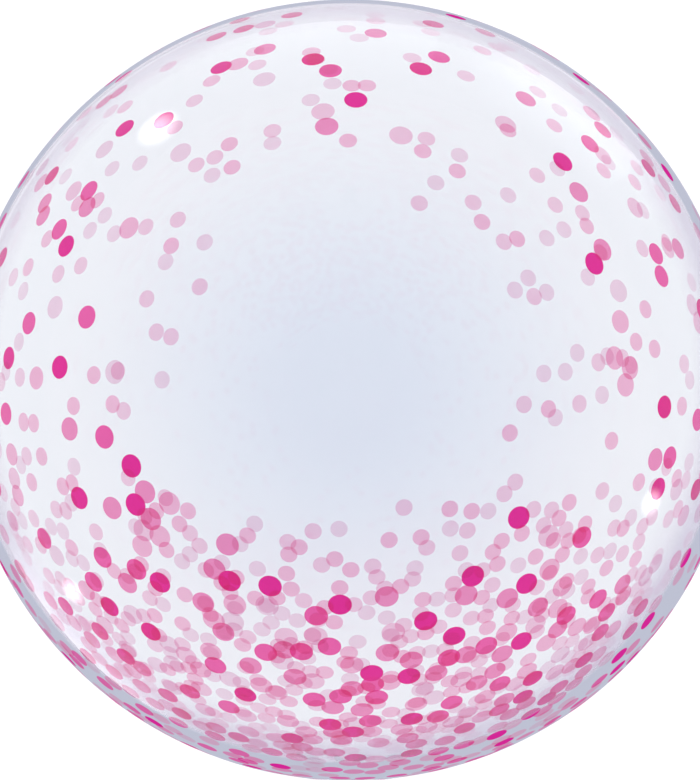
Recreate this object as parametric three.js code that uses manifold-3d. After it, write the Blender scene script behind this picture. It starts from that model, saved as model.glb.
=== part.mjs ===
// A clear bubble balloon lying loose on its side: a round bubble of stretched film with a gathered
// neck and a flat welded tail, and the self-sealing valve, a flat film strip held inside that tail.
// Millimetres, +Z up. The origin is the middle of the small flat spot that the bubble rests on, and
// the neck points along -Y. The blown-up bubble is sealed, so it is one solid.
import * as THREE from "three";
import { mergeVertices } from "three/addons/utils/BufferGeometryUtils.js";
import Module from "manifold-3d";

const wasm = await Module();
wasm.setup();

// Driving dimensions of the bubble: 24 inches across when blown up
const BUBBLE_RADIUS = 305;
const FLAT_SPOT_RADIUS = 55;
const CENTRE_HEIGHT = Math.sqrt(BUBBLE_RADIUS ** 2 - FLAT_SPOT_RADIUS ** 2);

// Driving dimensions of the neck and the tail
const TAIL_WIDTH = 28;
const TAIL_THICKNESS = 2.4;
const THROAT_RADIUS = TAIL_WIDTH / Math.PI; // the flat tail's film, gathered into a round throat
const NECK_REACH = 14; // from the round of the bubble out to the throat
const NECK_SPREAD = THREE.MathUtils.degToRad(5); // where the film leaves the round
const FLATTEN_LENGTH = 24; // the throat turns from round to flat over this
const BEND_START = 3;
const BEND_LENGTH = 24;
const DROOP = THREE.MathUtils.degToRad(20); // the loose tail hangs by this much
const TAIL_LENGTH = 84; // from the throat to the cut end
const TAIL_CORNER = 4;
const FLAT_SHARE = 1.7; // how much of the tail's width lies flat before its edges slope

// Driving dimensions of the gathers round the neck
const PLEATS = 12;
const PLEAT_DEPTH = 1.4;
const PLEAT_PEAK = 22; // distance from the neck's axis where they are deepest
const PLEAT_END = 96; // and where the film is smooth again

// Driving dimensions of the valve strip and its pocket
const POCKET_START = 36;
const POCKET_WIDTH = 20;
const POCKET_HEIGHT = 1.2;
const VALVE_WIDTH = 18;
const VALVE_THICKNESS = 0.6;
const VALVE_SHOWS = 6; // how far it sticks out of the tail
const VALVE_CORNER = 3;
const CLEARANCE = 1; // between the strip's inner end and the end of its pocket

// How finely the round is cut into facets
const SEGMENTS_ROUND = PLEATS * 6;
const ROWS_SPHERE = 40;
const ROWS_NECK = 8;
const ROWS_BEND = 9;
const CORNER_ROWS = 3;
const ROW_CROWDING = 1.35; // rows lie closer together towards the neck

const film = new THREE.MeshStandardMaterial({
  name: "clear_film",
  color: 0xe6eaf4,
  roughness: 0.06,
  metalness: 0,
  transparent: true,
  opacity: 0.35,
});
const valveFilm = new THREE.MeshStandardMaterial({
  name: "valve_film",
  color: 0xdfe4ee,
  roughness: 0.3,
  metalness: 0,
  transparent: true,
  opacity: 0.6,
});

const THROAT_Y = -(BUBBLE_RADIUS + NECK_REACH);

// The profile from the cut end of the tail, up the neck and round to the crown, as (radius, y)
// pairs about the neck's axis, with y measured from the bubble's centre.
function bubbleProfile() {
  const points = [new THREE.Vector2(0, THROAT_Y - TAIL_LENGTH)];
  const straightStart = BEND_START + BEND_LENGTH;
  for (let i = 0; i <= CORNER_ROWS; i++) {
    const along = TAIL_CORNER * (1 - Math.cos((Math.PI / 2) * (i / CORNER_ROWS)));
    points.push(new THREE.Vector2(THROAT_RADIUS, THROAT_Y - TAIL_LENGTH + along));
  }
  for (let i = 0; i < ROWS_BEND; i++) {
    points.push(new THREE.Vector2(THROAT_RADIUS, THROAT_Y - straightStart * (1 - i / ROWS_BEND)));
  }
  const leave = new THREE.Vector2(Math.sin(NECK_SPREAD), -Math.cos(NECK_SPREAD));
  const inwards = new THREE.Vector2(-Math.cos(NECK_SPREAD), -Math.sin(NECK_SPREAD));
  const start = leave.clone().multiplyScalar(BUBBLE_RADIUS);
  const throat = new THREE.Vector2(THROAT_RADIUS, THROAT_Y);
  const sweep = new THREE.CubicBezierCurve(
    throat,
    new THREE.Vector2(THROAT_RADIUS, THROAT_Y + NECK_REACH * 0.7),
    start.clone().addScaledVector(inwards, start.x * 0.55),
    start,
  );
  points.push(...sweep.getPoints(ROWS_NECK).slice(0, -1));
  for (let i = 0; i < ROWS_SPHERE; i++) {
    const share = (i / ROWS_SPHERE) ** ROW_CROWDING;
    const angle = NECK_SPREAD + (Math.PI - NECK_SPREAD) * share;
    points.push(new THREE.Vector2(Math.sin(angle), -Math.cos(angle)).multiplyScalar(BUBBLE_RADIUS));
  }
  points.push(new THREE.Vector2(0, BUBBLE_RADIUS));
  return points;
}

// The gathers: deepest just outside the throat, and gone a hand's width up the bubble, so that the
// crown's half has none. Every second one is shallower, and they wander a little, as gathered film
// does.
function pleatHeight(radius, around) {
  const rise = THREE.MathUtils.smoothstep(radius, THROAT_RADIUS * 0.9, PLEAT_PEAK);
  const fall = 1 - THREE.MathUtils.smoothstep(radius, PLEAT_PEAK, PLEAT_END);
  const wander = 0.18 * Math.sin(2 * around) + 0.12 * Math.sin(3 * around + 1);
  const wave = 0.7 * Math.cos(PLEATS * around + wander) + 0.3 * Math.cos((PLEATS / 2) * around);
  return PLEAT_DEPTH * (0.25 + 0.75 * rise) * fall ** 2 * wave;
}

// How flat the tail's section is at a distance beyond the throat: 0 round, 1 flat.
function flatness(beyond) {
  return THREE.MathUtils.smoothstep(beyond, 0, FLATTEN_LENGTH);
}

// The section of the tail at a distance beyond the throat: across and up from its own middle line.
function tailSection(beyond, around) {
  const flat = flatness(beyond);
  const toEnd = TAIL_LENGTH - beyond;
  const corner = toEnd < TAIL_CORNER ? TAIL_CORNER - Math.sqrt(TAIL_CORNER ** 2 - (TAIL_CORNER - toEnd) ** 2) : 0;
  const halfWidth = THREE.MathUtils.lerp(THROAT_RADIUS, TAIL_WIDTH / 2, flat) - corner;
  const halfHeight = THREE.MathUtils.lerp(THROAT_RADIUS, TAIL_THICKNESS / 2, flat);
  const pressed = THREE.MathUtils.clamp(FLAT_SHARE * Math.cos(around), -1, 1);
  const up = halfHeight * THREE.MathUtils.lerp(Math.cos(around), pressed, flat);
  return { across: halfWidth * Math.sin(around), up };
}

// The drooping middle line of the tail: where it is and how steeply it runs at a distance beyond
// the throat.
function tailLine(beyond) {
  const turned = THREE.MathUtils.clamp((beyond - BEND_START) / BEND_LENGTH, 0, 1) * DROOP;
  const bendRadius = BEND_LENGTH / DROOP;
  const straight = Math.max(0, beyond - BEND_START - BEND_LENGTH);
  const before = Math.min(beyond, BEND_START);
  return {
    out: before + bendRadius * Math.sin(turned) + straight * Math.cos(DROOP),
    down: bendRadius * (1 - Math.cos(turned)) + straight * Math.sin(DROOP),
    slope: turned,
  };
}

// The lathed profile with its gathers, and with the part beyond the throat pressed flat and bent.
function bubbleGeometry() {
  const profile = bubbleProfile();
  const geometry = new THREE.LatheGeometry(profile, SEGMENTS_ROUND);
  const place = geometry.getAttribute("position");
  for (let i = 0; i < place.count; i++) {
    const row = i % profile.length;
    const { x: radius, y } = profile[row];
    const around = 2 * Math.PI * (Math.floor(i / profile.length) / SEGMENTS_ROUND);
    const beyond = THROAT_Y - y;
    if (beyond > 0) {
      const section = radius > 0 ? tailSection(beyond, around) : { across: 0, up: 0 };
      const line = tailLine(beyond);
      place.setXYZ(
        i,
        section.across,
        THROAT_Y - line.out - section.up * Math.sin(line.slope),
        -line.down + section.up * Math.cos(line.slope),
      );
      continue;
    }
    const before = profile[Math.max(row - 1, 0)];
    const after = profile[Math.min(row + 1, profile.length - 1)];
    const normal = new THREE.Vector2(after.y - before.y, before.x - after.x).normalize();
    const lift = y < 0 ? pleatHeight(radius, around) : 0;
    const lifted = radius + lift * normal.x;
    place.setXYZ(i, lifted * Math.sin(around), y + lift * normal.y, lifted * Math.cos(around));
  }
  return geometry;
}

// A mesh's geometry as a solid that can be cut.
function solidOf(geometry) {
  const bare = new THREE.BufferGeometry();
  bare.setAttribute("position", geometry.getAttribute("position"));
  bare.setIndex(geometry.getIndex());
  const merged = mergeVertices(bare, 1e-3);
  const solid = new wasm.Manifold(
    new wasm.Mesh({
      numProp: 3,
      vertProperties: merged.getAttribute("position").array,
      triVerts: new Uint32Array(merged.getIndex().array),
    }),
  );
  return solid;
}

function geometryOf(solid) {
  const { vertProperties, triVerts } = solid.getMesh();
  const geometry = new THREE.BufferGeometry();
  geometry.setAttribute("position", new THREE.BufferAttribute(vertProperties, 3));
  geometry.setIndex(new THREE.BufferAttribute(triVerts, 1));
  return geometry;
}

// The straight part of the tail as a frame of its own: its middle line runs along -Y, from 0 at
// the throat, and +Z is the tail's upper face.
function tailFrame() {
  const frame = new THREE.Object3D();
  const end = tailLine(TAIL_LENGTH);
  frame.rotation.x = DROOP;
  frame.position.set(0, THROAT_Y - end.out, CENTRE_HEIGHT - end.down);
  frame.translateY(TAIL_LENGTH);
  frame.updateMatrixWorld(true);
  return frame;
}

function makeBubble() {
  const whole = solidOf(bubbleGeometry().translate(0, 0, CENTRE_HEIGHT));
  const floor = new THREE.BoxGeometry(BUBBLE_RADIUS, BUBBLE_RADIUS, BUBBLE_RADIUS);
  floor.translate(0, 0, -BUBBLE_RADIUS / 2);
  const pocketLength = 2 * (TAIL_LENGTH - POCKET_START);
  const pocket = new THREE.BoxGeometry(POCKET_WIDTH, pocketLength, POCKET_HEIGHT);
  pocket.translate(0, -(POCKET_START + pocketLength / 2), 0).applyMatrix4(tailFrame().matrixWorld);
  const cut = whole.subtract(solidOf(floor)).subtract(solidOf(pocket));
  const bubble = new THREE.Mesh(geometryOf(cut), film);
  bubble.name = "bubble";
  return bubble;
}

function makeValve() {
  const length = TAIL_LENGTH + VALVE_SHOWS - POCKET_START - CLEARANCE;
  const half = VALVE_WIDTH / 2;
  const outline = new THREE.Shape();
  outline.moveTo(-half, 0);
  outline.lineTo(-half, -length + VALVE_CORNER);
  outline.absarc(-half + VALVE_CORNER, -length + VALVE_CORNER, VALVE_CORNER, Math.PI, 1.5 * Math.PI);
  outline.absarc(half - VALVE_CORNER, -length + VALVE_CORNER, VALVE_CORNER, 1.5 * Math.PI, 2 * Math.PI);
  outline.lineTo(half, 0);
  outline.closePath();
  const strip = new THREE.ExtrudeGeometry(outline, {
    depth: VALVE_THICKNESS,
    bevelEnabled: false,
    curveSegments: 5,
  });
  strip.translate(0, -POCKET_START - CLEARANCE, -VALVE_THICKNESS / 2);
  const valve = new THREE.Mesh(strip, valveFilm);
  valve.name = "valve";
  return valve;
}

const balloon = new THREE.Group();
const tail = tailFrame();
tail.add(makeValve());
balloon.add(makeBubble(), tail);

export default balloon;
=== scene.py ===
# %% [markdown]
# A clear bubble balloon
#
# The balloon is a ball of clear stretched film, 61 cm across, printed with pink confetti dots that
# crowd together towards the neck. It is blown up through a flat tail that holds a self-sealing
# valve. Loose, it lies on its side, so the camera looks straight down on it, and the neck points
# to the bottom of the picture, along -Y.

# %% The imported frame
import math

import bmesh
import bpy
import numpy as np
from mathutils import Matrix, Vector


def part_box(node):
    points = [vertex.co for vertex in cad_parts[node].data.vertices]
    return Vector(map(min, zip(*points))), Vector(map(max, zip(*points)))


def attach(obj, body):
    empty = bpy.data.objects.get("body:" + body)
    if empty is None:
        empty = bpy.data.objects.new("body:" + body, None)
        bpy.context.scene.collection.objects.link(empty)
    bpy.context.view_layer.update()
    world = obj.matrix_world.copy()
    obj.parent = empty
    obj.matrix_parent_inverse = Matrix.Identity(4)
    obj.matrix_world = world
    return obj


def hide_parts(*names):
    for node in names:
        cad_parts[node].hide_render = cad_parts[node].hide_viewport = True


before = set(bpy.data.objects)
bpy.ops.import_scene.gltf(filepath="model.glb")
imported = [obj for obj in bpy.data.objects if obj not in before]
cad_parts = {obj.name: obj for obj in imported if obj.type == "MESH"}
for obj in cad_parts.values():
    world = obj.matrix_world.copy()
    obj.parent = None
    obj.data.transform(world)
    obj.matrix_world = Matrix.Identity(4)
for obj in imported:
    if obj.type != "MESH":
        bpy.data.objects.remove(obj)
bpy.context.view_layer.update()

# %% [markdown]
# Sizes are in metres, and come from the frame where it has them. The ball's crown is the farthest
# point along +Y, so its place gives the radius. The ball rests on a small flat spot, which puts
# its centre a little less than one radius above the floor. Two small tolerances, for picking
# vertices and edges by their place, stand with the sizes.

# %% Driving sizes
MM = 0.001
ball_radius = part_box("bubble")[1][1]
FLAT_SPOT_RADIUS = 55 * MM
centre_height = math.sqrt(ball_radius**2 - FLAT_SPOT_RADIUS**2)
print("ball radius", round(ball_radius, 4), "centre height", round(centre_height, 4))

TAIL_WIDTH = 28 * MM
TAIL_THICKNESS = 2.4 * MM
TAIL_LENGTH = 84 * MM
NECK_REACH = 14 * MM
NECK_SPREAD = math.radians(5)
NEARLY = 0.1 * MM
ON_PLANE = 0.05 * MM
throat_radius = TAIL_WIDTH / math.pi
throat_y = -(ball_radius + NECK_REACH)

# %% [markdown]
# The film
#
# The real film is thin, at a guess a tenth of a millimetre or less. It is drawn as a wall of 0.3 mm
# with an outer and an inner face, because light has to enter a wall and leave it again: a single
# surface would turn the balloon into a solid glass ball. The ball starts as a UV sphere with its
# poles at the crown and at the neck, because the gathers, the weld and the tail all run along lines
# between those two.

# %% The blown-up ball
COLUMNS = 144
ROWS = 108
bpy.ops.object.select_all(action="DESELECT")
bpy.ops.mesh.primitive_uv_sphere_add(
    segments=COLUMNS,
    ring_count=ROWS,
    radius=ball_radius,
    location=(0, 0, centre_height),
    rotation=(math.pi / 2, 0, 0),
)
film = bpy.context.object
film.name = "bubble_film"
bpy.ops.object.transform_apply(location=True, rotation=True, scale=True)
print(film.name, len(film.data.vertices), "vertices")

# %% [markdown]
# The cap round the neck's pole is cut away, and the open edge is drawn out row by row. Each new
# row is only pulled straight out here, a tenth of a metre at a time, so that its y says which row
# it is. A formula then gives every row its real place.

# %% Draw out the neck and the tail
NECK_ROWS = 10
TAIL_ROWS = 44
ROW_PULL = 0.1
bpy.ops.object.mode_set(mode="EDIT")
bpy.ops.mesh.select_mode(type="VERT")
bpy.ops.mesh.select_all(action="DESELECT")
edit_mesh = bmesh.from_edit_mesh(film.data)
cap_y = -ball_radius * math.cos(NECK_SPREAD)
for vertex in edit_mesh.verts:
    vertex.select = vertex.co.y < cap_y - NEARLY
edit_mesh.select_flush(True)
bpy.ops.mesh.delete(type="VERT")
bpy.ops.mesh.select_mode(type="EDGE")
for edge in edit_mesh.edges:
    edge.select = edge.is_boundary
for row in range(NECK_ROWS + TAIL_ROWS):
    bpy.ops.mesh.extrude_region_move(TRANSFORM_OT_translate={"value": (0, -ROW_PULL, 0)})
bpy.ops.object.mode_set(mode="OBJECT")
print(film.name, len(film.data.vertices), "vertices with the neck and the tail")

# %% [markdown]
# Two sheets of film are welded along the great circle that runs through the neck and the crown.
# The weld is a fine bead, so the two lines of edges that lie on it are bevelled into narrow strips
# now, and the middle line of each strip is pushed out later. The last rows at the crown keep out
# of it, because a pole with one bevelled line through it tears.

# %% The weld round the ball
WELD_WIDTH = 1.6 * MM
CROWN_ROWS_LEFT_OUT = 2
crown_stop_y = ball_radius * math.cos(math.pi * CROWN_ROWS_LEFT_OUT / ROWS)
bpy.ops.object.mode_set(mode="EDIT")
bpy.ops.mesh.select_all(action="DESELECT")
edit_mesh = bmesh.from_edit_mesh(film.data)
for edge in edit_mesh.edges:
    in_plane = all(abs(vertex.co.z - centre_height) < ON_PLANE for vertex in edge.verts)
    edge.select = in_plane and max(vertex.co.y for vertex in edge.verts) < crown_stop_y + NEARLY
bpy.ops.mesh.bevel(offset=WELD_WIDTH / 2, segments=2, profile=0.5, affect="EDGES")
bpy.ops.object.mode_set(mode="OBJECT")
print(film.name, len(film.data.vertices), "vertices with the weld")

# %% [markdown]
# The formulas below follow the real forming. The ball's round sweeps into a narrow throat. Beyond
# the throat the tube is pressed flat: a pouch in the middle for the valve, and a welded margin on
# either side. The loose tail droops a little under its own weight.

# %% Formulas for the neck and the tail
FLATTEN_LENGTH = 24 * MM
BEND_START = 3 * MM
BEND_LENGTH = 24 * MM
DROOP = math.radians(20)
TAIL_CORNER = 4 * MM
MARGIN_WIDTH = 3.5 * MM
MARGIN_THICKNESS = 0.8 * MM
EDGE_FROM = 0.96
BALL_HANDLE = 0.55
THROAT_HANDLE = 0.7
bend_radius = BEND_LENGTH / DROOP


def smooth_step(value, low, high):
    """0 below low, 1 above high, and a smooth rise between them."""
    share = np.clip((value - low) / (high - low), 0, 1)
    return share * share * (3 - 2 * share)


def neck_sweep(share):
    """Radius and y of the curve from the ball's round (share 0) to the throat (share 1)."""
    start = ball_radius * np.array([math.sin(NECK_SPREAD), -math.cos(NECK_SPREAD)])
    inwards = np.array([-math.cos(NECK_SPREAD), -math.sin(NECK_SPREAD)])
    throat = np.array([throat_radius, throat_y])
    ball_handle = start + inwards * start[0] * BALL_HANDLE
    throat_handle = throat + [0, NECK_REACH * THROAT_HANDLE]
    handles = [start, ball_handle, throat_handle, throat]
    weights = [(1 - share) ** 3, 3 * share * (1 - share) ** 2, 3 * share**2 * (1 - share), share**3]
    return sum(np.outer(weight, handle) for weight, handle in zip(weights, handles)).T


def tail_place(beyond, around):
    """x, y and z from the ball's centre, for a distance beyond the throat and an angle round it."""
    flat = smooth_step(beyond, 0, FLATTEN_LENGTH)
    to_end = np.clip(TAIL_LENGTH - beyond, 0, TAIL_CORNER)
    corner = TAIL_CORNER - np.sqrt(TAIL_CORNER**2 - (TAIL_CORNER - to_end) ** 2)
    evenly = np.arcsin(np.sin(around)) / (math.pi / 2)
    half_width = TAIL_WIDTH / 2 - corner
    pouch = 1 - smooth_step(np.abs(evenly) * half_width, TAIL_WIDTH / 2 - 2 * MARGIN_WIDTH,
                            TAIL_WIDTH / 2 - MARGIN_WIDTH)
    edge = 1 - smooth_step(np.abs(evenly), EDGE_FROM, 1)
    flat_up = edge * (MARGIN_THICKNESS + (TAIL_THICKNESS - MARGIN_THICKNESS) * pouch) / 2
    across = (1 - flat) * throat_radius * np.sin(around) + flat * half_width * evenly
    up = (1 - flat) * throat_radius * np.cos(around) + flat * flat_up * np.sign(np.cos(around))
    turned = np.clip((beyond - BEND_START) / BEND_LENGTH, 0, 1) * DROOP
    straight = np.maximum(0, beyond - BEND_START - BEND_LENGTH)
    out = np.minimum(beyond, BEND_START) + bend_radius * np.sin(turned) + straight * math.cos(DROOP)
    down = bend_radius * (1 - np.cos(turned)) + straight * math.sin(DROOP)
    return across, throat_y - out - up * np.sin(turned), up * np.cos(turned) - down


# %% [markdown]
# Film that is gathered into a throat stands in pleats. They are deepest just outside the throat
# and run out a hand's width up the ball. Twelve of them carry the form, as in the CAD solid, and
# finer ones ride on those.

# %% Formula for the gathers
PLEATS = 12
PLEAT_DEPTH = 1.4 * MM
PLEAT_PEAK = 22 * MM
PLEAT_END = 96 * MM
PLEAT_SHARES = (0.7, 0.3)
DEPTH_AT_THROAT = 0.25
FINE_PLEATS = 36
FINE_SHARE = 0.22
WANDER = (0.18, 0.12)


def pleat_height(radius, y, around):
    """How far a gather stands out at a distance from the neck's axis, on the neck's half alone."""
    rise = smooth_step(radius, 0.9 * throat_radius, PLEAT_PEAK)
    depth = PLEAT_DEPTH * (DEPTH_AT_THROAT + (1 - DEPTH_AT_THROAT) * rise)
    fall = 1 - smooth_step(radius, PLEAT_PEAK, PLEAT_END)
    wander = WANDER[0] * np.sin(2 * around) + WANDER[1] * np.sin(3 * around + 1)
    wave = PLEAT_SHARES[0] * np.cos(PLEATS * around + wander)
    every_other = PLEAT_SHARES[1] * np.cos(PLEATS / 2 * around)
    fine = FINE_SHARE * np.cos(FINE_PLEATS * around + 2 * wander + 0.6)
    return np.where(y < 0, depth * fall**2 * (wave + every_other + fine), 0)


# %% [markdown]
# The rows now go to their places. The gathers and the weld's bead lift the film along its own
# normal, and the bead runs out before it reaches the neck and the crown. Where the ball touches
# the floor, the film is pressed flat, with a soft turn into the round as stretched film has, and
# it stays a hair above the floor so that the two never lie in one plane.

# %% Shape the film
WELD_HEIGHT = 0.6 * MM
WELD_FADE = (math.radians(7), math.radians(14))
FLOOR_GAP = 0.3 * MM
TURN_SOFTNESS = 1.2 * MM
count = len(film.data.vertices)
place = np.empty(count * 3)
film.data.vertices.foreach_get("co", place)
place = place.reshape(-1, 3)
x, y, z = place[:, 0].copy(), place[:, 1].copy(), place[:, 2] - centre_height
around = np.arctan2(x, z)
drawn_rows = (cap_y - y) / ROW_PULL

in_neck = (drawn_rows > 0.5 * ROW_PULL) & (drawn_rows < NECK_ROWS + 0.5)
share = np.clip(drawn_rows / NECK_ROWS, 0, 1)
sweep_radius, sweep_y = neck_sweep(share)
radius = np.where(in_neck, sweep_radius, np.hypot(x, z))
along = np.where(in_neck, sweep_y, y)
on_weld = np.abs(z) < ON_PLANE
from_pole = np.arctan2(radius, np.abs(along))
bead = np.where(on_weld, WELD_HEIGHT, 0) * smooth_step(from_pole, *WELD_FADE)
lift = pleat_height(radius, along, around) + bead
slope = np.arctan2(along, radius)
new_x = (radius + lift * np.cos(slope)) * np.sin(around)
new_y = along + lift * np.sin(slope)
new_z = (radius + lift * np.cos(slope)) * np.cos(around)

in_tail = drawn_rows > NECK_ROWS + 0.5
beyond = np.clip((drawn_rows - NECK_ROWS) / TAIL_ROWS, 0, 1) * TAIL_LENGTH
tail_x, tail_y, tail_z = tail_place(beyond, around)
shaped = np.column_stack([
    np.where(in_tail, tail_x, new_x),
    np.where(in_tail, tail_y, new_y),
    np.where(in_tail, tail_z, new_z) + centre_height,
])
above = shaped[:, 2] - FLOOR_GAP
pressed = FLOOR_GAP + (above + np.sqrt(above**2 + TURN_SOFTNESS**2)) / 2
shaped[:, 2] = np.where(in_tail, shaped[:, 2], pressed)
film.data.vertices.foreach_set("co", shaped.ravel())
film.data.update()
print("film spans", shaped.min(axis=0).round(4), shaped.max(axis=0).round(4))

# %% [markdown]
# The film gets its wall on the inside of the shape, so that the outer face keeps the true size.
# The inner face goes to the second material slot, because only the outside is printed. The slots
# have to be there first, or the modifier puts both faces in one.

# %% Give the film its wall
WALL = 0.3 * MM
printed_film = bpy.data.materials.new("printed_cast_film")
bare_film = bpy.data.materials.new("bare_cast_film")
film.data.materials.append(printed_film)
film.data.materials.append(bare_film)
bpy.ops.object.shade_smooth()
wall = film.modifiers.new("wall", "SOLIDIFY")
wall.thickness = WALL
wall.offset = -1
wall.material_offset = 1
wall.use_rim = True
bpy.ops.object.modifier_apply(modifier=wall.name)
print(film.name, len(film.data.polygons), "faces in both walls")

# %% [markdown]
# The valve
#
# The self-sealing valve is a flat strip of thinner film between the two sides of the tail. It
# lets gas in and then lies shut. It is modelled in the tail's own directions: it starts as a thin
# box at its size, its outer corners are rounded, and the channel between its welded borders is
# pressed in by inset and a small move. Then it turns down with the tail.

# %% The valve strip
VALVE_WIDTH = 18 * MM
VALVE_THICKNESS = 0.6 * MM
VALVE_START = 37 * MM
VALVE_END = 90 * MM
VALVE_CORNER = 3 * MM
VALVE_BORDER = 1.8 * MM
CHANNEL_SLOPE = 0.3 * MM
CHANNEL_DEPTH = 0.12 * MM
FACES_SIDE = 0.9
SHARP_FROM = math.radians(30)
straight_from = BEND_START + BEND_LENGTH
_, bend_end_y, bend_end_z = tail_place(np.array([straight_from]), np.array([math.pi / 2]))
tail_start = Vector((0, float(bend_end_y[0]), float(bend_end_z[0]) + centre_height))
tail_direction = Vector((0, -math.cos(DROOP), -math.sin(DROOP)))
valve_length = VALVE_END - VALVE_START
valve_middle = tail_start + tail_direction * ((VALVE_START + VALVE_END) / 2 - straight_from)
bpy.ops.object.select_all(action="DESELECT")
bpy.ops.mesh.primitive_cube_add(size=1, location=valve_middle, rotation=(DROOP, 0, 0))
valve = bpy.context.object
valve.name = "valve_strip"
valve.scale = (VALVE_WIDTH, valve_length, VALVE_THICKNESS)
bpy.ops.object.transform_apply(location=False, rotation=False, scale=True)
bpy.ops.object.mode_set(mode="EDIT")
bpy.ops.mesh.select_all(action="DESELECT")
edit_mesh = bmesh.from_edit_mesh(valve.data)
for edge in edit_mesh.edges:
    start, end = (vertex.co for vertex in edge.verts)
    upright = abs(start.x - end.x) < NEARLY and abs(start.z - end.z) > NEARLY
    edge.select = upright and start.y < 0 and end.y < 0
bpy.ops.mesh.bevel(offset=VALVE_CORNER, segments=6, affect="EDGES")
for side in (1, -1):
    bpy.ops.mesh.select_all(action="DESELECT")
    for face in edit_mesh.faces:
        face.select = face.normal.z * side > FACES_SIDE
    bpy.ops.mesh.inset(thickness=VALVE_BORDER)
    bpy.ops.mesh.inset(thickness=CHANNEL_SLOPE)
    bpy.ops.transform.translate(value=(0, 0, -side * CHANNEL_DEPTH), orient_type="LOCAL")
bpy.ops.object.mode_set(mode="OBJECT")
bpy.ops.object.transform_apply(location=True, rotation=True, scale=True)
bpy.ops.object.shade_smooth_by_angle(angle=SHARP_FROM)
print(valve.name, len(valve.data.polygons), "faces")

# %% [markdown]
# The print
#
# The confetti is printed on the outside of the film. Each dot is all that lies within 8 mm of its
# middle, so the dots are round and of one size. They are few at the crown and crowd together
# towards the neck, and a round window on the upper and on the lower panel stays clear.
#
# The dots are laid out by throwing them on the ball at random: a throw counts as often as the
# place is crowded, and only where it doesn't fall on top of an earlier dot. Each dot then draws
# its ink. The upper panel has all seven inks, and more of the deep ones towards the neck. The lower
# panel is seen through the upper one, and has the three palest. Random throws alone pile deep dots
# up more than the real print does, so one that would touch an earlier deep dot takes a paler ink.

# %% Lay out the confetti dots
DOT_DIAMETER = 16 * MM
CLOSEST = 0.68 * DOT_DIAMETER
THROWS = 8500
CROWDING = {-1.0: 0.10, 0.0: 0.09, 0.2: 0.13, 0.45: 0.34, 0.7: 0.72, 1.0: 0.85}
WINDOW_SHIFT = math.radians(6)
WINDOW_EDGE = (math.radians(27), math.radians(36))
BARE_NECK = math.radians(9)
INKS = ("f5d8e7", "f7cde1", "f8bdd8", "f595c3", "f563ae", "ee1a99", "ed0486")
CROWN_SHARES = (0.10, 0.16, 0.18, 0.22, 0.18, 0.12, 0.04)
NECK_SHARES = (0.11, 0.12, 0.13, 0.18, 0.27, 0.14, 0.05)
LOWER_SHARES = (0.24, 0.38, 0.38, 0, 0, 0, 0)
DEEP_INK = 4
DEEP_APART = 1.15 * DOT_DIAMETER
PALER_BY = 2
INKS_CHANGE = (-0.6, 0.6)
SEED = 24

chances = np.random.default_rng(SEED)
throws = chances.normal(size=(THROWS, 3))
throws /= np.linalg.norm(throws, axis=1)[:, None]
neckwards = -throws[:, 1]
likely = np.interp(neckwards, list(CROWDING), list(CROWDING.values()))
window_middle = np.array([0, math.sin(WINDOW_SHIFT), math.cos(WINDOW_SHIFT)])
either_side = np.column_stack([throws[:, :2], np.abs(throws[:, 2])])
from_window = np.arccos(np.clip(either_side @ window_middle, -1, 1))
likely *= smooth_step(from_window, *WINDOW_EDGE)
likely[neckwards > math.cos(BARE_NECK)] = 0
dots = np.empty((0, 3))
for throw in throws[chances.random(THROWS) < likely]:
    apart = np.linalg.norm(dots - throw, axis=1) * ball_radius
    if not (apart < CLOSEST).any():
        dots = np.vstack([dots, throw])
print(len(dots), "dots")

# %% [markdown]
# The inks are clear, so where two dots overlap, the light passes both and comes out darker, and
# their colours are multiplied. The Principled shader tints light by the root of its colour each
# time it crosses a face, and only the outer face is printed, so an ink is squared here to tint what
# is seen through it by its full colour. Where several deep dots lie on one another, the real print
# stays a bright magenta, so the overlaps are kept no darker than one deepest tone.
#
# The Mix node has several sockets of one name, so its colour sockets are picked by their numbers.

# %% Helpers for colours and nodes
COLOUR_A, COLOUR_B, COLOUR_OUT = 6, 7, 2


def linear(hex_colour):
    """The linear red, green and blue of an sRGB hex colour."""
    channels = [int(hex_colour[i : i + 2], 16) / 255 for i in (0, 2, 4)]
    return tuple(c / 12.92 if c <= 0.04045 else ((c + 0.055) / 1.055) ** 2.4 for c in channels)


def add_node(tree, kind, inputs=None, **settings):
    """Adds a node. An input is given a plain value, or is linked where it is given an output."""
    node = tree.nodes.new(kind)
    for name, value in settings.items():
        setattr(node, name, value)
    for socket, value in (inputs or {}).items():
        if isinstance(value, bpy.types.NodeSocket):
            tree.links.new(value, node.inputs[socket])
        else:
            node.inputs[socket].default_value = value
    return node


# %% Draw an ink for each dot
inks = np.array([linear(ink) for ink in INKS]) ** 2
neck_share = smooth_step(-dots[:, 1], *INKS_CHANGE)[:, None]
upper_shares = (1 - neck_share) * CROWN_SHARES + neck_share * NECK_SHARES
shares = np.where(dots[:, 2:] > 0, upper_shares, LOWER_SHARES)
draw = chances.random(len(dots))[:, None]
ink_number = (draw > np.cumsum(shares, axis=1)[:, :-1]).sum(axis=1)
for number, dot in enumerate(dots):
    touching = np.linalg.norm(dots[:number] - dot, axis=1) * ball_radius < DEEP_APART
    if ink_number[number] >= DEEP_INK and (ink_number[:number][touching] >= DEEP_INK).any():
        ink_number[number] -= PALER_BY
dot_inks = inks[ink_number]
print("dots of each ink, pale to deep:", np.bincount(ink_number))

# %% [markdown]
# A texture could work out, for every ray, which dots are near. It is several times faster to note
# that on the mesh: each face keeps the middle and the ink of every dot that touches it, one dot in
# each layer. The material then only has to measure how far a point is from those few middles. A
# face with no dot on it goes to the bare film's slot, as the whole inner wall does.

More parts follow.
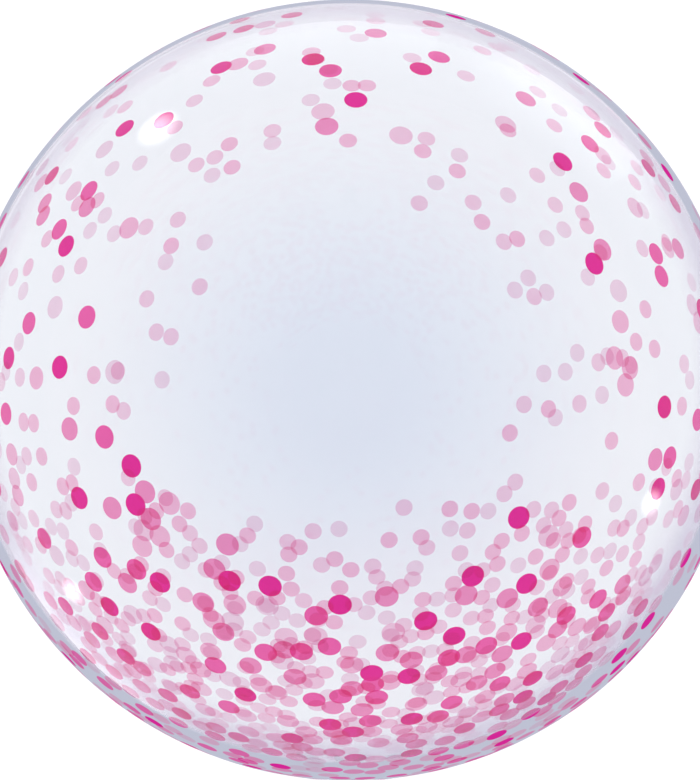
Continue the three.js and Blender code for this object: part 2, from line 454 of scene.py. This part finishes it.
# %% Note the dots on the faces that they touch
face_count = len(film.data.polygons)
corners = np.empty(len(film.data.vertices) * 3)
film.data.vertices.foreach_get("co", corners)
corners = corners.reshape(-1, 3) - [0, 0, centre_height]
middles = np.empty(face_count * 3)
film.data.polygons.foreach_get("center", middles)
middles = middles.reshape(-1, 3) - [0, 0, centre_height]
reach = np.array([
    np.linalg.norm(corners[list(face.vertices)] - middle, axis=1).max()
    for face, middle in zip(film.data.polygons, middles)
])
slot_numbers = np.empty(face_count, dtype=np.int32)
film.data.polygons.foreach_get("material_index", slot_numbers)
on_outside = slot_numbers == 0
MOST_LAYERS = 12
layer_count = np.zeros(face_count, dtype=int)
dot_places = np.zeros((MOST_LAYERS, face_count, 3))
dot_tints = np.ones((MOST_LAYERS, face_count, 3))
for dot, ink in zip(dots * ball_radius, dot_inks):
    within_reach = np.linalg.norm(middles - dot, axis=1) < DOT_DIAMETER / 2 + reach
    touched = np.flatnonzero(on_outside & within_reach)
    dot_places[layer_count[touched], touched] = dot + [0, 0, centre_height]
    dot_tints[layer_count[touched], touched] = ink
    layer_count[touched] += 1
layers = layer_count.max()
for layer in range(layers):
    for name, values in ((f"dot_{layer}", dot_places[layer]), (f"ink_{layer}", dot_tints[layer])):
        attribute = film.data.attributes.new(name, "FLOAT_VECTOR", "FACE")
        attribute.data.foreach_set("vector", values.ravel())
film.data.polygons.foreach_set("material_index", np.where(layer_count > 0, 0, 1).astype(np.int32))
film.data.update()
print(layers, "layers,", (layer_count > 0).sum(), "printed faces of", on_outside.sum())

# %% [markdown]
# The film's finish
#
# The film is clear cast plastic, stretched until it is glossy, and very slightly blue-grey. Its
# roughness and index are plain values. Such plastics have an index of about 1.5. It is set lower
# here, for the look alone, because at 1.5 the print's mirror image in the far wall mottles the
# clear window more.
#
# Seen nearly edge on, the line of sight runs a long way inside the film, and the rim of the ball
# shows as a soft lavender edge with a grey-blue line. The lavender edge is the film's haze. The
# grey-blue line is partly haze and partly a painted reflection of dark surroundings, which the
# even white sky here doesn't give. Layer Weight finds the rim. One ramp holds its tones, and in
# their alpha how much light still passes. The line is broader to the right and towards the neck,
# which is painted shade. Towards the neck the film has also stretched less and is thicker.
#
# An ink on a hazy or opaque film sends light back instead of tinting what is behind it, and so
# looks lighter. Gamma weakens it there by the same alpha, and the ink hides the film's own tone,
# the more so the deeper it is, so that a deep dot on the grey-blue line is still magenta and not
# purple.
#
# Where the two sheets were welded, the film is puckered on both sides of the bead, too finely for
# the mesh. A bump carries that, and the bead itself is a little milky.

# %% Values for the clear film
FILM_INDEX = 1.33
FILM_ROUGHNESS = 0
FILM_TONE = "f3f5f7"
# The last stop, the grey-blue line, is partly the film's haze and partly a painted reflection of dark
# surroundings.
RIM_TONES = (
    (0.00, FILM_TONE, 1.0),
    (0.54, FILM_TONE, 1.0),
    (0.62, "e8e7ee", 0.93),
    (0.70, "d3cfde", 0.80),
    (0.765, "c8c4d6", 0.68),
    (0.785, "b1b4c4", 0.0),
)
# Broadens the rim line to the right, as painted shade, and towards the neck, as painted shade and as
# thicker film.
SHADE_AND_THICKNESS_BROADENING = Vector((0.03, -0.085, 0)) / ball_radius
DEEPEST_SEEN = "ed1c90"
HAZY_BELOW = 0.5
RIM_INK = 0.4
UNDER_INK = "d0ced2"
WELD_CLEARNESS = 0.75
SHINE = 0.5
PUCKER_REACH = 14 * MM
PUCKER_LENGTH = 7 * MM
PUCKER_DEPTH = 0.03 * MM


# %% The film's relief
def puckered_normal(tree, here, off_weld):
    """The normal of the puckers. Their waves in x and in y cross, and so run unevenly on the weld."""
    waves = add_node(
        tree,
        "ShaderNodeVectorMath",
        {0: here, "Scale": math.tau / PUCKER_LENGTH},
        operation="SCALE",
    ).outputs["Vector"]
    sines = add_node(tree, "ShaderNodeVectorMath", {0: waves}, operation="SINE").outputs["Vector"]
    sine = add_node(tree, "ShaderNodeSeparateXYZ", {0: sines})
    puckers = add_node(
        tree, "ShaderNodeMath", {0: sine.outputs["X"], 1: sine.outputs["Y"]}, operation="MULTIPLY"
    ).outputs[0]
    by_weld = add_node(
        tree,
        "ShaderNodeMapRange",
        {"Value": off_weld, "From Max": PUCKER_REACH, "To Min": 1, "To Max": 0},
    ).outputs[0]
    height = add_node(
        tree, "ShaderNodeMath", {0: puckers, 1: by_weld}, operation="MULTIPLY"
    ).outputs[0]
    bump = add_node(tree, "ShaderNodeBump", {"Height": height, "Distance": PUCKER_DEPTH})
    return bump.outputs["Normal"]


# %% The dots of the print
def printed_colour(tree, here, film_tone, passed, printed_layers):
    """The film's tone under all the dots that cover a point, each by its distance from there."""
    seen_ink = (1, 1, 1, 1)
    for layer in range(printed_layers):
        middle = add_node(tree, "ShaderNodeAttribute", attribute_name=f"dot_{layer}")
        ink = add_node(tree, "ShaderNodeAttribute", attribute_name=f"ink_{layer}")
        away = add_node(
            tree, "ShaderNodeVectorMath", {0: here, 1: middle.outputs["Vector"]}, operation="DISTANCE"
        ).outputs["Value"]
        inside = add_node(
            tree, "ShaderNodeMath", {0: away, 1: DOT_DIAMETER / 2}, operation="LESS_THAN"
        ).outputs[0]
        seen_ink = add_node(
            tree,
            "ShaderNodeMix",
            {0: inside, COLOUR_A: seen_ink, COLOUR_B: ink.outputs["Vector"]},
            data_type="RGBA",
            blend_type="MULTIPLY",
        ).outputs[COLOUR_OUT]
    deepest = [part**2 for part in linear(DEEPEST_SEEN)]
    no_darker = add_node(
        tree,
        "ShaderNodeMix",
        {0: 1, COLOUR_A: seen_ink, COLOUR_B: (*deepest, 1)},
        data_type="RGBA",
        blend_type="LIGHTEN",
    ).outputs[COLOUR_OUT]
    ink_strength = add_node(
        tree, "ShaderNodeMapRange", {"Value": passed, "From Min": HAZY_BELOW, "To Min": RIM_INK}
    ).outputs[0]
    weakened = add_node(
        tree, "ShaderNodeGamma", {"Color": no_darker, "Gamma": ink_strength}
    ).outputs["Color"]
    green_left = add_node(tree, "ShaderNodeSeparateColor", {0: weakened}).outputs["Green"]
    hiding = add_node(
        tree, "ShaderNodeMath", {0: 1, 1: green_left}, operation="SUBTRACT"
    ).outputs[0]
    opaque = add_node(tree, "ShaderNodeMath", {0: 1, 1: passed}, operation="SUBTRACT").outputs[0]
    hidden = add_node(
        tree, "ShaderNodeMath", {0: hiding, 1: opaque}, operation="MULTIPLY"
    ).outputs[0]
    under_ink = add_node(
        tree,
        "ShaderNodeMix",
        {0: hidden, COLOUR_A: film_tone, COLOUR_B: (*linear(UNDER_INK), 1)},
        data_type="RGBA",
    ).outputs[COLOUR_OUT]
    return add_node(
        tree,
        "ShaderNodeMix",
        {0: 1, COLOUR_A: under_ink, COLOUR_B: weakened},
        data_type="RGBA",
        blend_type="MULTIPLY",
    ).outputs[COLOUR_OUT]


# %% The clear film
def finish_film(material, printed_layers):
    """Gives a slot of the film its finish, with as many layers of dots as its faces carry."""
    material.use_nodes = True
    tree = material.node_tree
    shader = tree.nodes["Principled BSDF"]
    shader.inputs["Roughness"].default_value = FILM_ROUGHNESS
    shader.inputs["IOR"].default_value = FILM_INDEX
    here = add_node(tree, "ShaderNodeTexCoord").outputs["Object"]
    facing = add_node(tree, "ShaderNodeLayerWeight", {"Blend": 0.5}).outputs["Facing"]
    shade_and_thickness = add_node(
        tree, "ShaderNodeVectorMath", {0: here, 1: SHADE_AND_THICKNESS_BROADENING}, operation="DOT_PRODUCT"
    ).outputs["Value"]
    edge_on = add_node(tree, "ShaderNodeMath", {0: facing, 1: shade_and_thickness}).outputs[0]
    tones = add_node(tree, "ShaderNodeValToRGB", {"Fac": edge_on})
    stops = tones.color_ramp.elements
    stops.remove(stops[-1])
    for number, (position, tone, passed) in enumerate(RIM_TONES):
        stop = stops[0] if number == 0 else stops.new(position)
        stop.position = position
        stop.color = (*linear(tone), passed)
    height_here = add_node(tree, "ShaderNodeSeparateXYZ", {0: here}).outputs["Z"]
    above_weld = add_node(
        tree, "ShaderNodeMath", {0: height_here, 1: centre_height}, operation="SUBTRACT"
    ).outputs[0]
    off_weld = add_node(tree, "ShaderNodeMath", {0: above_weld}, operation="ABSOLUTE").outputs[0]
    milky_to_clear = {"From Min": WELD_WIDTH / 2, "From Max": WELD_WIDTH, "To Min": WELD_CLEARNESS}
    weld_clearness = add_node(
        tree, "ShaderNodeMapRange", {"Value": off_weld, **milky_to_clear}
    ).outputs[0]
    passed = add_node(
        tree, "ShaderNodeMath", {0: tones.outputs["Alpha"], 1: weld_clearness}, operation="MULTIPLY"
    ).outputs[0]
    colour = tones.outputs["Color"]
    if printed_layers:
        colour = printed_colour(tree, here, colour, passed, printed_layers)
    shine = add_node(
        tree, "ShaderNodeMath", {0: tones.outputs["Alpha"], 1: SHINE}, operation="MULTIPLY"
    ).outputs[0]
    tree.links.new(colour, shader.inputs["Base Color"])
    tree.links.new(passed, shader.inputs["Transmission Weight"])
    tree.links.new(shine, shader.inputs["Specular IOR Level"])
    tree.links.new(puckered_normal(tree, here, off_weld), shader.inputs["Normal"])


finish_film(printed_film, layers)
finish_film(bare_film, 0)
print([(material.name, len(material.node_tree.nodes)) for material in film.data.materials])

# %% [markdown]
# The valve's film is thinner and softer, and its two layers cling, which makes it a little milky,
# with streaks and fine crinkles along the way the gas takes.

# %% The valve's film
VALVE_TONES = ("cfd6e6", "eceff6")
STREAK_SIZE = (1.5 * MM, 16 * MM, 16 * MM)
CRINKLE_DEPTH = 0.08 * MM
VALVE_ROUGHNESS = 0.3
VALVE_CLEARNESS = 0.6
valve_film = bpy.data.materials.new("milky_valve_film")
valve_film.use_nodes = True
valve_tree = valve_film.node_tree
valve_shader = valve_tree.nodes["Principled BSDF"]
on_valve = add_node(valve_tree, "ShaderNodeTexCoord").outputs["Object"]
in_streaks = add_node(
    valve_tree,
    "ShaderNodeVectorMath",
    {0: on_valve, 1: [1 / size for size in STREAK_SIZE]},
    operation="MULTIPLY",
).outputs["Vector"]
streaks = add_node(
    valve_tree, "ShaderNodeTexNoise", {"Vector": in_streaks, "Scale": 1, "Detail": 3}
).outputs[0]
valve_tone = add_node(
    valve_tree,
    "ShaderNodeMix",
    {0: streaks, COLOUR_A: (*linear(VALVE_TONES[0]), 1), COLOUR_B: (*linear(VALVE_TONES[1]), 1)},
    data_type="RGBA",
).outputs[COLOUR_OUT]
crinkles = add_node(
    valve_tree, "ShaderNodeBump", {"Height": streaks, "Distance": CRINKLE_DEPTH}
).outputs["Normal"]
valve_tree.links.new(valve_tone, valve_shader.inputs["Base Color"])
valve_tree.links.new(crinkles, valve_shader.inputs["Normal"])
valve_shader.inputs["Roughness"].default_value = VALVE_ROUGHNESS
valve_shader.inputs["IOR"].default_value = FILM_INDEX
valve_shader.inputs["Transmission Weight"].default_value = VALVE_CLEARNESS
valve.data.materials.append(valve_film)

# %% [markdown]
# The pieces in the frame
#
# Both pieces ride on the one body, and each stands for its CAD solid.

# %% Ride and replace
for piece, node, slot in ((film, "bubble", "clear_film"), (valve, "valve", "valve_film")):
    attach(piece, "root")
    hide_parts(node)

# %% [markdown]
# The floor, the light and the camera
#
# The balloon lies on a large lit table of matt opal glass under an even, pale sky, which gives the
# white ground of a product picture. Such a table is matt and mirrors nothing. Under the ball its
# glow is darker and bluer, a painted shadow, and seen through the film that shades the middle of
# the clear window.

# %% The lit table
TABLE_SIZE = 12
OPAL_TONE = "bcbcbc"
# The middle glow is a painted shadow under the ball, darker and bluer than the outer glow, which it
# fades into between the two distances.
PAINTED_SHADOW_GLOW, OUTER_GLOW = "abb5c0", "bebec0"
PAINTED_SHADOW_FROM, PAINTED_SHADOW_TO = 0.04, 0.30
bpy.ops.object.select_all(action="DESELECT")
bpy.ops.mesh.primitive_plane_add(size=TABLE_SIZE)
table = bpy.context.object
table.name = "lit_table"
opal = bpy.data.materials.new("matt_opal_glass")
opal.use_nodes = True
opal_shader = opal.node_tree.nodes["Principled BSDF"]
opal_shader.inputs["Base Color"].default_value = (*linear(OPAL_TONE), 1)
opal_shader.inputs["Roughness"].default_value = 0.9
opal_shader.inputs["Specular IOR Level"].default_value = 0
on_table = add_node(opal.node_tree, "ShaderNodeTexCoord").outputs["Object"]
off_middle = add_node(
    opal.node_tree, "ShaderNodeVectorMath", {0: on_table}, operation="LENGTH"
).outputs["Value"]
# Painted shadow: the glow is dimmer and bluer near the middle, under the ball.
painted_shadow_fade = add_node(
    opal.node_tree,
    "ShaderNodeMapRange",
    {"Value": off_middle, "From Min": PAINTED_SHADOW_FROM, "From Max": PAINTED_SHADOW_TO},
    interpolation_type="SMOOTHSTEP",
).outputs[0]
glow = add_node(
    opal.node_tree,
    "ShaderNodeMix",
    {0: painted_shadow_fade, COLOUR_A: (*linear(PAINTED_SHADOW_GLOW), 1), COLOUR_B: (*linear(OUTER_GLOW), 1)},
    data_type="RGBA",
).outputs[COLOUR_OUT]
opal.node_tree.links.new(glow, opal_shader.inputs["Emission Color"])
opal_shader.inputs["Emission Strength"].default_value = 1
table.data.materials.append(opal)

# %% [markdown]
# The sky is one even white, so that no wall or window shows in the film. It needs no importance
# sampling, because no part of it is brighter than another.

# %% The pale sky
SKY_STRENGTH = 1.2
sky = bpy.data.worlds.new("pale_sky")
bpy.context.scene.world = sky
sky.use_nodes = True
sky.cycles.sampling_method = "NONE"
sky.node_tree.nodes["Background"].inputs["Color"].default_value = (1, 1, 1, 1)
sky.node_tree.nodes["Background"].inputs["Strength"].default_value = SKY_STRENGTH

# %% [markdown]
# The film shows by what it mirrors. Three curved panels of light lie round the ball, just above the
# table, and give the long white crescents inside the rim: crisp on the outside, where a panel
# begins, and soft towards the middle, where it fades. Three small lamps give the round glints.
# The panels and lamps show only in the film, not on the table and not to the camera. Bearings are
# in degrees round the ball, with 0 to the picture's right and 90 to its top, and other sizes are in
# metres.

# %% The curved panels
PANEL_HEIGHT = 40 * MM
PANEL_STEPS = 180
PANEL_OVERHANG = 2


def curved_panel(name, bearings, inner, outer, strength):
    """A flat arc of light that fades outwards, and from the middle two bearings to the outer two."""
    bpy.ops.object.select_all(action="DESELECT")
    middle = (0, 0, PANEL_HEIGHT)
    bpy.ops.mesh.primitive_circle_add(vertices=PANEL_STEPS, radius=inner, location=middle)
    panel = bpy.context.object
    panel.name = name
    bpy.ops.object.mode_set(mode="EDIT")
    bpy.ops.mesh.select_mode(type="VERT")
    bpy.ops.mesh.select_all(action="SELECT")
    bpy.ops.mesh.extrude_region_move()
    wider = outer / inner
    bpy.ops.transform.resize(value=(wider, wider, 1), center_override=middle)
    bpy.ops.mesh.select_all(action="DESELECT")
    for vertex in bmesh.from_edit_mesh(panel.data).verts:
        bearing = math.degrees(math.atan2(vertex.co.y, vertex.co.x))
        vertex.select = not bearings[0] - PANEL_OVERHANG < bearing < bearings[3] + PANEL_OVERHANG
    bpy.ops.mesh.delete(type="VERT")
    bpy.ops.object.mode_set(mode="OBJECT")
    panel.visible_camera = False
    panel.visible_diffuse = False
    panel.visible_transmission = False
    panel.visible_shadow = False
    glow = bpy.data.materials.new(name + "_glow")
    glow.use_nodes = True
    glow.cycles.emission_sampling = "NONE"
    tree = glow.node_tree
    tree.nodes.remove(tree.nodes["Principled BSDF"])
    here = add_node(tree, "ShaderNodeTexCoord").outputs["Object"]
    distance = add_node(
        tree, "ShaderNodeVectorMath", {0: here}, operation="LENGTH"
    ).outputs["Value"]
    place = add_node(tree, "ShaderNodeSeparateXYZ", {0: here})
    bearing = add_node(
        tree, "ShaderNodeMath", {0: place.outputs["Y"], 1: place.outputs["X"]}, operation="ARCTAN2"
    ).outputs[0]
    fade = add_node(
        tree,
        "ShaderNodeMapRange",
        {"Value": distance, "From Min": inner, "From Max": outer, "To Min": strength, "To Max": 0},
    ).outputs[0]
    first, full_from, full_to, last = (math.radians(degrees) for degrees in bearings)
    for dark, bright in ((first, full_from), (last, full_to)):
        end_fade = add_node(
            tree,
            "ShaderNodeMapRange",
            {"Value": bearing, "From Min": dark, "From Max": bright},
            interpolation_type="SMOOTHSTEP",
        ).outputs[0]
        fade = add_node(
            tree, "ShaderNodeMath", {0: fade, 1: end_fade}, operation="MULTIPLY"
        ).outputs[0]
    light = add_node(tree, "ShaderNodeEmission", {"Strength": fade}).outputs[0]
    nothing = add_node(tree, "ShaderNodeBsdfTransparent").outputs[0]
    both = add_node(tree, "ShaderNodeAddShader", {0: light, 1: nothing}).outputs[0]
    tree.links.new(both, tree.nodes["Material Output"].inputs["Surface"])
    panel.data.materials.append(glow)


curved_panel("top_panel", (34, 60, 95, 124), 0.71, 5.0, 0.6)
curved_panel("upper_right_panel", (26, 42, 56, 74), 0.71, 3.0, 1.1)
curved_panel("lower_left_panel", (-160, -146, -130, -112), 0.63, 1.2, 1.6)


# %% The small lamps
LAMP_FULL_TO, LAMP_DARK_FROM = 0.05, 0.5


def soft_lamp(name, bearing, distance, height, size, strength):
    """A lamp that faces the ball and fades all round."""
    bearing = math.radians(bearing)
    place = (distance * math.cos(bearing), distance * math.sin(bearing), height)
    turn = (math.pi / 2, 0, bearing + math.pi / 2)
    bpy.ops.object.light_add(type="AREA", location=place, rotation=turn)
    lamp = bpy.context.object
    lamp.name = name
    lamp.data.shape = "RECTANGLE"
    lamp.data.size, lamp.data.size_y = size
    lamp.data.energy = strength * math.pi * size[0] * size[1]
    lamp.visible_camera = False
    lamp.visible_transmission = False
    lamp.visible_diffuse = False
    lamp.data.use_nodes = True
    tree = lamp.data.node_tree
    on_lamp = add_node(tree, "ShaderNodeNewGeometry").outputs["Parametric"]
    off_middle = add_node(
        tree, "ShaderNodeVectorMath", {0: on_lamp, 1: (0.5, 0.5, 0)}, operation="DISTANCE"
    ).outputs["Value"]
    full_to_dark = {"From Min": LAMP_FULL_TO, "From Max": LAMP_DARK_FROM, "To Min": 1, "To Max": 0}
    fade = add_node(
        tree,
        "ShaderNodeMapRange",
        {"Value": off_middle, **full_to_dark},
        interpolation_type="SMOOTHSTEP",
    ).outputs[0]
    tree.links.new(fade, tree.nodes["Emission"].inputs["Strength"])


soft_lamp("upper_left_lamp", 126.3, 1.2, 0.25, (0.21, 0.33), 14)
soft_lamp("right_lamp", -20.5, 1.2, 0.28, (0.14, 0.22), 12)
soft_lamp("lower_left_lamp", 216, 1.0, 0.14, (0.11, 0.20), 10)

# %% [markdown]
# The camera looks straight down on the middle of the ball, from 5.5 radii away, as the sizes of
# the near and the far dots in the picture say. The ball just fills the picture's height. Light
# crosses four faces on one way through the balloon and is mirrored between its walls, so it is
# followed for many bounces.

# %% The camera
CAMERA_DISTANCE = 5.5 * ball_radius
LENS = 97.5
camera = bpy.data.objects.new("picture_camera", bpy.data.cameras.new("picture_camera"))
bpy.context.scene.collection.objects.link(camera)
camera.location = (0, 0, centre_height + CAMERA_DISTANCE)
camera.data.lens = LENS
camera.data.sensor_width = 36
bpy.context.scene.camera = camera
bpy.context.scene.view_settings.view_transform = "Standard"
cycles = bpy.context.scene.cycles
cycles.blur_glossy = 0
cycles.max_bounces = 24
cycles.transmission_bounces = 24
cycles.glossy_bounces = 8
